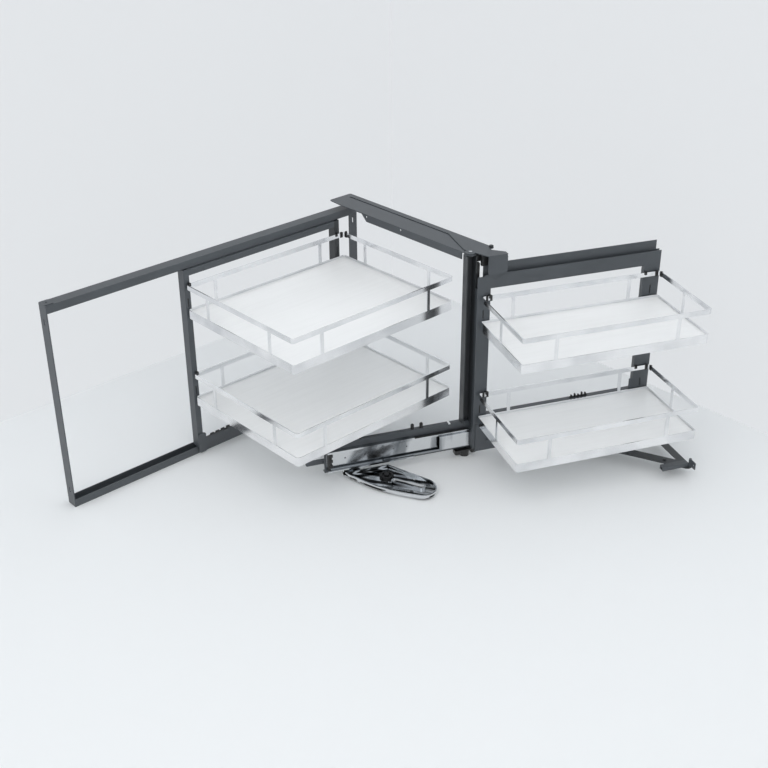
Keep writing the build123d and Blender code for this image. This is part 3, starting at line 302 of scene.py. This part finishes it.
def makePiece(name, form, place, finish, body):
    mesh = bpy.data.meshes.new(name)
    form.to_mesh(mesh)
    form.free()
    mesh.materials.append(finish)
    for face in mesh.polygons:
        face.use_smooth = True
    mesh.transform(place)
    mesh.set_sharp_from_angle(angle=math.radians(38))
    thing = bpy.data.objects.new(name, mesh)
    bpy.context.scene.collection.objects.link(thing)
    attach(thing, body)


# clips that hold each railing: a saddle and a cheek at the right corner, with a knob on the rear trays,
# and two saddles at the front trays' left corner
clip = {"saddle": (0.0085, 0.0056, 0.0150), "cheek": (0.0056, 0.0080, 0.0140), "rounding": 0.0012,
        "knob": 0.0034, "knobHigh": 0.0026, "fromCorner": 0.0105, "lift": 0.0010, "band": 0.00125,
        "frontSaddle": (0.0060, 0.0052, 0.0150), "frontFromCorner": (0.0150, 0.0260)}
for tray in ("rear_upper", "rear_lower", "front_upper", "front_lower"):
    half = tray.split("_")[0]
    place, body = halves[half]
    low, high = reachOf(tray + "_railing", place)
    top = high.z + clip["lift"] - clip["saddle"][2] / 2
    bandY, cheekAt = high.y - clip["band"], (high.x - clip["band"], high.y - clip["fromCorner"])
    form = bmesh.new()
    addBlock(form, (high.x - clip["fromCorner"], bandY, top), clip["saddle"], clip["rounding"])
    addBlock(form, (*cheekAt, top), clip["cheek"], clip["rounding"])
    if half == "front":
        for fromCorner in clip["frontFromCorner"]:
            addBlock(form, (low.x + fromCorner, bandY, top), clip["frontSaddle"], clip["rounding"])
    else:
        addKnob(form, (*cheekAt, high.z + clip["lift"] + clip["knobHigh"] / 2), clip["knob"], clip["knobHigh"])
    makePiece(tray + "CornerClip", form, place, mouldedNylon, body)
print("clips made")

# dark fillers in the hook slots of the posts, painted shade for the dark inside of the slots; aboveTray is from a
# tray's underside to its slot's middle
slotShade = {"wide": 0.0031, "long": 0.0225, "deep": 0.0010, "rounding": 0.0003, "inset": 0.0012, "aboveTray": 0.039}
for post, half in (("front_left_post", "front"), ("front_right_post", "front"),
                   ("carriage_left_post", "rear"), ("carriage_right_post", "rear")):
    place, body = halves[half]
    low, high = reachOf(post, place)
    form = bmesh.new()
    for level in ("_upper_band", "_lower_band"):
        under = reachOf(half + level, place)[0].z
        addBlock(form, ((low.x + high.x) / 2, low.y + slotShade["inset"], under + slotShade["aboveTray"]),
                 (slotShade["wide"], slotShade["deep"], slotShade["long"]), slotShade["rounding"])
    makePiece(post.replace("_", "") + "SlotShadeFill", form, place, mouldedNylon, body)
print("slot tongues made")

# black strip in the gap beside the mast, painted shade for the shaded gap there
strip = {"wide": 0.0085, "deep": 0.0110, "rounding": 0.0012, "inset": 0.0008, "lowGap": 0.004, "highGap": 0.018}
low, high = reachOf("mast", slidePlace)
foot, head = low.z + strip["lowGap"], high.z - strip["highGap"]
form = bmesh.new()
addBlock(form, (high.x + strip["wide"] / 2, low.y + strip["inset"] + strip["deep"] / 2, (foot + head) / 2),
         (strip["wide"], strip["deep"], head - foot), strip["rounding"])
makePiece("mastGapShadeFill", form, slidePlace, mouldedNylon, "swivel_mast")
print("edge strip made")

# screw knob on the lobe of the hinge plate
knob = {"along": 0.0590, "back": 0.0120, "radius": 0.0056, "high": 0.0046}
low, high = reachOf("hinge_plate", slidePlace)
form = bmesh.new()
addKnob(form, (knob["along"], knob["back"], high.z + knob["high"] / 2), knob["radius"], knob["high"])
makePiece("hingeKnob", form, slidePlace, shadedPowderCoat, "swivel_mast")
print("hinge knob made")

# press-on cap over the toothed disc's post
discCap = {"radius": 0.0066, "high": 0.0026, "gap": 0.0003}
low, high = reachOf("toothed_disc", rearPlace)
form = bmesh.new()
addKnob(form, (*jointNamed("disc_spin")["pos_m"][:2], high.z + discCap["gap"] + discCap["high"] / 2),
        discCap["radius"], discCap["high"])
makePiece("discPostCap", form, rearPlace, mouldedNylon, "swivel_mast")
print("disc cap made")

# small toothed rack on the front frame's lower bar
frontRack = {"first": 0.284, "long": 0.050, "deep": 0.0060, "foot": 0.0025, "wide": 0.0034, "rounding": 0.0005,
             "teeth": (0.0060, 0.0085, 0.0050, 0.0095, 0.0070)}
low, high = reachOf("front_bottom_bar", slidePlace)
form = bmesh.new()
addRack(form, (frontRack["first"], (low.y + high.y) / 2, high.z), frontRack)
makePiece("frontBarRack", form, slidePlace, mouldedNylon, "front_frame")

# longer rack with rounded teeth on the carriage's lower bar
rearRack = {"first": -0.064, "long": 0.068, "deep": 0.0034, "foot": 0.0026, "wide": 0.0118, "rounding": 0.0012,
            "teeth": (0.0046, 0.0050, 0.0056, 0.0066)}
low, high = reachOf("carriage_bottom_bar", rearPlace)
form = bmesh.new()
addRack(form, (rearRack["first"], low.y + rearRack["deep"] / 2, high.z), rearRack)
makePiece("carriageBarRack", form, rearPlace, mouldedNylon, "rear_carriage")
print("racks made")

# ball retainers above and below the middle slide: a black nylon strip with a row of steel balls, its black also
# standing in as painted shade for the dark gaps there
run = {"high": 0.0020, "deep": 0.0050, "rounding": 0.0005, "endGap": 0.006, "gap": 0.0001,
       "ball": 0.00105, "firstBall": 0.004, "pitch": 0.0075, "ballRun": 0.080}
low, high = reachOf("slide_middle", slidePlace)
strips, balls = bmesh.new(), bmesh.new()
for edge, outward in ((high.z, 1), (low.z, -1)):
    middleZ = edge + outward * (run["high"] / 2 + run["gap"])
    addBlock(strips, ((low.x + high.x) / 2, low.y + run["deep"], middleZ),
             (high.x - low.x - 2 * run["endGap"], run["deep"], run["high"]), run["rounding"])
    for k in range(int(run["ballRun"] / run["pitch"])):
        ballX = low.x + run["endGap"] + run["firstBall"] + k * run["pitch"]
        bmesh.ops.create_uvsphere(balls, u_segments=14, v_segments=8, radius=run["ball"],
                                  matrix=Matrix.Translation((ballX, low.y + run["deep"] / 2, middleZ)))
makePiece("slideRetainersAndShade", strips, slidePlace, mouldedNylon, "middle_slide")

# rivets in the web of the middle slide; web is the depth of its front face
rivet = {"places": (-0.196, -0.160), "radius": 0.0017, "proud": 0.0002, "long": 0.0006, "web": 0.0066, "lift": 0.0025}
rivetY = low.y + rivet["web"] - rivet["proud"] + rivet["long"] / 2
form = bmesh.new()
for rivetX in rivet["places"]:
    addKnob(form, (rivetX, rivetY, (low.z + high.z) / 2 + rivet["lift"]), rivet["radius"], rivet["long"],
            Matrix.Rotation(math.radians(90), 4, "X"))
makePiece("slideRivets", form, slidePlace, mouldedNylon, "middle_slide")
makePiece("slideBalls", balls, slidePlace, slideZinc, "middle_slide")
print("ball runs made")


def makeRoomPaint(name, look):
    # matt emulsion; byEye and byGloss are how much of the written tone the camera and the chrome see
    material, tree = startMaterial(name)
    paint = addNode(tree, "ShaderNodeBsdfPrincipled",
                    {"Base Color": hexToLinear(look["tone"]), "Roughness": look["roughness"]})
    glow = addNode(tree, "ShaderNodeEmission", {"Color": hexToLinear(look["seen"]), "Strength": 1.0})
    path = addNode(tree, "ShaderNodeLightPath")
    byEye = addNode(tree, "ShaderNodeMath", {"operation": "MULTIPLY", 1: look["byEye"]},
                    {0: path.outputs["Is Camera Ray"]})
    byGloss = addNode(tree, "ShaderNodeMath", {"operation": "MULTIPLY", 1: look["byGloss"]},
                      {0: path.outputs["Is Glossy Ray"]})
    share = addNode(tree, "ShaderNodeMath", {"operation": "MAXIMUM"}, {0: byEye.outputs[0], 1: byGloss.outputs[0]})
    inside = addNode(tree, "ShaderNodeMixShader", None,
                     {0: share.outputs[0], 1: paint.outputs[0], 2: glow.outputs[0]})
    side = addNode(tree, "ShaderNodeNewGeometry")  # a sheet is painted on its room side only, and open from behind
    nothing = addNode(tree, "ShaderNodeBsdfTransparent")
    endMaterial(tree, addNode(tree, "ShaderNodeMixShader", None,
                              {0: side.outputs["Backfacing"], 1: inside.outputs[0], 2: nothing.outputs[0]}))
    return material


def makeSheetObject(name, corners, finish):
    mesh = bpy.data.meshes.new(name)
    mesh.from_pydata([Vector(c) for c in corners], [], [list(range(len(corners)))])
    mesh.materials.append(finish)
    thing = bpy.data.objects.new(name, mesh)
    bpy.context.scene.collection.objects.link(thing)
    thing.visible_shadow = False  # daylight also comes from behind the walls


def addLamp(name, look):
    lamp = bpy.data.lights.new(name, "AREA")
    lamp.shape = "RECTANGLE"
    lamp.size, lamp.size_y = look["size"]
    lamp.energy = look["watts"]
    thing = bpy.data.objects.new(name, lamp)
    thing.location = look["place"]
    thing.rotation_euler = (Vector(look["aim"]) - Vector(look["place"])).to_track_quat("-Z", "Y").to_euler()
    bpy.context.scene.collection.objects.link(thing)


floorEmulsion = {"tone": "#EBEDEE", "seen": "#EDEFF0", "byEye": 0.0, "byGloss": 0.6, "roughness": 0.9}
wallEmulsion = {"tone": "#EAECEE", "seen": "#E2E5E8", "byEye": 0.8, "byGloss": 1.0, "roughness": 0.9}
floorPaint = makeRoomPaint("floorEmulsion", floorEmulsion)
wallPaint = makeRoomPaint("wallEmulsion", wallEmulsion)
room = {"left": -9.0, "right": 1.067, "near": -9.0, "back": 0.49, "top": 6.0}
left, right, near, back, top = (room[side] for side in ("left", "right", "near", "back", "top"))
makeSheetObject("roomFloor", [(left, near, 0), (right, near, 0), (right, back, 0), (left, back, 0)], floorPaint)
makeSheetObject("roomBackWall", [(left, back, 0), (right, back, 0), (right, back, top), (left, back, top)], wallPaint)
makeSheetObject("roomRightWall", [(right, near, 0), (right, near, top), (right, back, top), (right, back, 0)],
                wallPaint)

# a broad soft panel overhead, and weaker daylight from the left
ceilingPanel = {"place": (-0.4, -1.2, 3.2), "aim": (0.2, -0.4, 0.0), "size": (4.6, 4.6), "watts": 24.0}
leftWindow = {"place": (-3.0, -2.4, 1.9), "aim": (0.1, -0.5, 0.2), "size": (2.2, 1.8), "watts": 7.5}
addLamp("ceilingPanel", ceilingPanel)
addLamp("leftWindow", leftWindow)

# even daylight; the camera and the chrome see a pale sky that darkens overhead
skyLook = {"ambient": "#FBFCFD", "low": "#E4E7EA", "overhead": "#5A5E62", "from": 0.45, "to": 0.95}
world = bpy.data.worlds.new("studioSky")
bpy.context.scene.world = world
world.use_nodes = True
sky = world.node_tree
sky.nodes.clear()
ambient = addNode(sky, "ShaderNodeBackground", {"Color": hexToLinear(skyLook["ambient"]), "Strength": 1.0})
heading = addNode(sky, "ShaderNodeSeparateXYZ", None,
                  {"Vector": addNode(sky, "ShaderNodeTexCoord").outputs["Generated"]})
height = addNode(sky, "ShaderNodeMapRange", {"From Min": skyLook["from"], "From Max": skyLook["to"]},
                 {"Value": heading.outputs["Z"]})
ceiling = addNode(sky, "ShaderNodeMix",
                  {"data_type": "RGBA", 6: hexToLinear(skyLook["low"]), 7: hexToLinear(skyLook["overhead"])},
                  {0: height.outputs[0]})
seen = addNode(sky, "ShaderNodeBackground", {"Strength": 1.0}, {"Color": ceiling.outputs[2]})
path = addNode(sky, "ShaderNodeLightPath")
eye = addNode(sky, "ShaderNodeMath", {"operation": "MAXIMUM"},
              {0: path.outputs["Is Camera Ray"], 1: path.outputs["Is Glossy Ray"]})
blend = addNode(sky, "ShaderNodeMixShader", None, {0: eye.outputs[0], 1: ambient.outputs[0], 2: seen.outputs[0]})
addNode(sky, "ShaderNodeOutputWorld", None, {"Surface": blend.outputs[0]})

view = {"place": (-1.5843, -2.3465, 1.6889), "turn": (61.360, 0.285, -42.790), "lensMm": 57.154,
        "sensorMm": 36.0, "farthest": 60.0}
camera = bpy.data.cameras.new("photoCamera")
camera.lens = view["lensMm"]
camera.sensor_width = view["sensorMm"]
camera.sensor_fit = "HORIZONTAL"
camera.clip_end = view["farthest"]
cameraObject = bpy.data.objects.new("photoCamera", camera)
cameraObject.location = view["place"]
cameraObject.rotation_euler = [math.radians(a) for a in view["turn"]]
bpy.context.scene.collection.objects.link(cameraObject)
bpy.context.scene.camera = cameraObject
bpy.context.scene.view_settings.view_transform = "Standard"
print("room, lamps and camera set")
